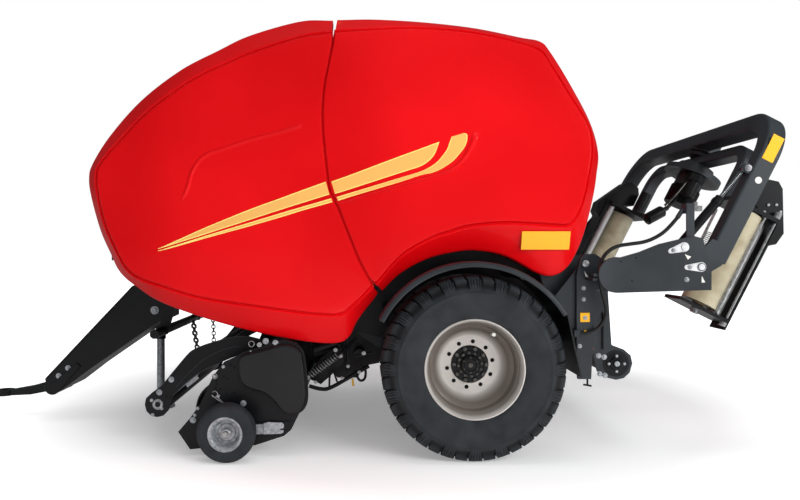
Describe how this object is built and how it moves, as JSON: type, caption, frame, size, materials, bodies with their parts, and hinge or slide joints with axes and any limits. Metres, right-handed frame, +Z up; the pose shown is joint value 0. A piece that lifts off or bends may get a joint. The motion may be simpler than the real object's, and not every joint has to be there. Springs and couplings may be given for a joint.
{
  "type": "round baler with bale wrapper",
  "caption": "Towed round baler with gull-wing side doors, lifting tailgate, crop pickup and a rear twin-arm satellite film wrapper carried on tilting booms.",
  "frame": {"origin": "on the ground under the middle of the machine's length and width", "axes": "+X forward along the drawbar, +Y to the machine's left, +Z up"},
  "size_m": [6.4563, 2.9, 3.172],
  "materials": {
    "red_shell": "gloss paint",
    "frame_grey": "satin dark grey paint",
    "black_metal": "satin black paint",
    "steel": "machined",
    "zinc": "galvanised",
    "rim_silver": "silver paint",
    "tyre_rubber": "matt",
    "black_plastic": "matt",
    "film": "stretch film",
    "hose_rubber": "matt",
    "chrome_rod": "polished"
  },
  "bodies": {
    "chassis": {"side_walls": "frame_grey", "chamber_front": "frame_grey", "chassis_frame": "frame_grey", "axle": "frame_grey", "front_hood": "red_shell", "gearbox": "frame_grey", "drawbar": "frame_grey", "hitch_eye": "steel", "jack_tube": "frame_grey", "chain_bar": "frame_grey", "mudguards": "black_plastic", "rear_supports": "frame_grey", "table_frame": "frame_grey", "hose_lower": "hose_rubber"},
    "jack": {"jack_leg": "steel"},
    "door_left": {"side_door_left": "red_shell"},
    "door_right": {"side_door_right": "red_shell"},
    "tailgate": {"tailgate_panel_left": "red_shell", "tailgate_panel_right": "red_shell", "tailgate_roof": "red_shell", "tailgate_drum": "frame_grey"},
    "wheel_left": {"tyre_left": "tyre_rubber", "rim_left": "rim_silver"},
    "wheel_right": {"tyre_right": "tyre_rubber", "rim_right": "rim_silver"},
    "pickup": {"pickup_frame": "frame_grey", "pickup_bands": "zinc", "pickup_covers": "black_plastic"},
    "reel": {"pickup_reel": "frame_grey"},
    "gauge_wheel_left": {"gauge_tyre_left": "tyre_rubber", "gauge_rim_left": "zinc"},
    "gauge_wheel_right": {"gauge_tyre_right": "tyre_rubber", "gauge_rim_right": "zinc"},
    "crop_guard": {"guard_frame": "frame_grey"},
    "guard_roller": {"crop_roller": "steel"},
    "table_roller": {"table_roller": "steel"},
    "wrapper_boom": {"booms": "frame_grey", "hose_upper": "hose_rubber"},
    "tilt_barrel_left": {"tilt_barrel_left": "frame_grey"},
    "tilt_barrel_right": {"tilt_barrel_right": "frame_grey"},
    "tilt_rod_left": {"tilt_rod_left": "chrome_rod"},
    "tilt_rod_right": {"tilt_rod_right": "chrome_rod"},
    "portal": {"portal_frame": "frame_grey"},
    "satellite": {"satellite_arms": "frame_grey", "film_unit_left": "black_metal", "film_unit_right": "black_metal"},
    "film_roll_left": {"film_roll_left": "film"},
    "film_roll_right": {"film_roll_right": "film"}
  },
  "joints": [
    {"name": "wheel_left_spin", "type": "hinge", "parent": "chassis", "child": "wheel_left", "pos_m": [-0.862, 1.15, 0.65], "axis": [0, 1, 0], "continuous": true},
    {"name": "wheel_right_spin", "type": "hinge", "parent": "chassis", "child": "wheel_right", "pos_m": [-0.862, -1.15, 0.65], "axis": [0, 1, 0], "continuous": true},
    {"name": "jack_slide", "type": "slide", "parent": "chassis", "child": "jack", "axis": [0, 0, 1], "range_m": [-0.15, 0]},
    {"name": "side_door_left_swing", "type": "hinge", "parent": "chassis", "child": "door_left", "pos_m": [0.37, 1.13, 3.03], "axis": [1, 0, 0], "range_deg": [0, 60]},
    {"name": "side_door_right_swing", "type": "hinge", "parent": "chassis", "child": "door_right", "pos_m": [0.37, -1.13, 3.03], "axis": [-1, 0, 0], "range_deg": [0, 60]},
    {"name": "tailgate_swing", "type": "hinge", "parent": "chassis", "child": "tailgate", "pos_m": [0.12, 0, 3.15], "axis": [0, 1, 0], "range_deg": [0, 40]},
    {"name": "pickup_lift", "type": "hinge", "parent": "chassis", "child": "pickup", "pos_m": [0.45, 0, 0.79], "axis": [0, -1, 0], "range_deg": [0, 12]},
    {"name": "pickup_reel_spin", "type": "hinge", "parent": "pickup", "child": "reel", "pos_m": [0.93, 0, 0.33], "axis": [0, 1, 0], "continuous": true},
    {"name": "gauge_left_spin", "type": "hinge", "parent": "pickup", "child": "gauge_wheel_left", "pos_m": [0.865, 1.36, 0.205], "axis": [0, 1, 0], "continuous": true},
    {"name": "gauge_right_spin", "type": "hinge", "parent": "pickup", "child": "gauge_wheel_right", "pos_m": [0.865, -1.36, 0.205], "axis": [0, 1, 0], "continuous": true},
    {"name": "crop_guard_lift", "type": "hinge", "parent": "pickup", "child": "crop_guard", "pos_m": [0.66, 0, 0.752], "axis": [0, -1, 0], "range_deg": [0, 10]},
    {"name": "guard_roller_spin", "type": "hinge", "parent": "crop_guard", "child": "guard_roller", "pos_m": [1.45, 0, 0.32], "axis": [0, 1, 0], "continuous": true},
    {"name": "table_roller_spin", "type": "hinge", "parent": "chassis", "child": "table_roller", "pos_m": [-2, 0, 0.62], "axis": [0, 1, 0], "continuous": true},
    {"name": "wrapper_lower", "type": "hinge", "parent": "chassis", "child": "wrapper_boom", "pos_m": [-1.854, 0, 1.305], "axis": [0, -1, 0], "range_deg": [0, 12]},
    {"name": "portal_tilt", "type": "hinge", "parent": "wrapper_boom", "child": "portal", "pos_m": [-2.438, 0, 1.361], "axis": [0, -1, 0], "range_deg": [0, 18]},
    {"name": "tilt_barrel_left_turn", "type": "hinge", "parent": "wrapper_boom", "child": "tilt_barrel_left", "pos_m": [-2.32, 1.29, 1.5], "axis": [0, -1, 0], "range_deg": [-1, 20]},
    {"name": "tilt_barrel_right_turn", "type": "hinge", "parent": "wrapper_boom", "child": "tilt_barrel_right", "pos_m": [-2.32, -1.29, 1.5], "axis": [0, -1, 0], "range_deg": [-1, 20]},
    {"name": "tilt_rod_left_slide", "type": "slide", "parent": "tilt_barrel_left", "child": "tilt_rod_left", "axis": [-0.6493, 0, 0.7605], "range_m": [-0.001, 0.062]},
    {"name": "tilt_rod_right_slide", "type": "slide", "parent": "tilt_barrel_right", "child": "tilt_rod_right", "axis": [-0.6493, 0, 0.7605], "range_m": [-0.001, 0.062]},
    {"name": "satellite_spin", "type": "hinge", "parent": "portal", "child": "satellite", "pos_m": [-3.15, 0, 2.37], "axis": [-0.454, 0, 0.891], "continuous": true},
    {"name": "film_roll_left_spin", "type": "hinge", "parent": "satellite", "child": "film_roll_left", "pos_m": [-2.75367, 1.035, 1.41594], "axis": [-0.454, 0, 0.891], "continuous": true},
    {"name": "film_roll_right_spin", "type": "hinge", "parent": "satellite", "child": "film_roll_right", "pos_m": [-2.61111, -1.035, 1.48858], "axis": [-0.454, 0, 0.891], "continuous": true}
  ],
  "couplings": [
    {"joint": "tilt_barrel_left_turn", "follows": "portal_tilt", "ratio": 1},
    {"joint": "tilt_barrel_right_turn", "follows": "portal_tilt", "ratio": 1},
    {"joint": "tilt_rod_left_slide", "follows": "portal_tilt", "m_per_rad": 0.18175},
    {"joint": "tilt_rod_right_slide", "follows": "portal_tilt", "m_per_rad": 0.18175}
  ]
}
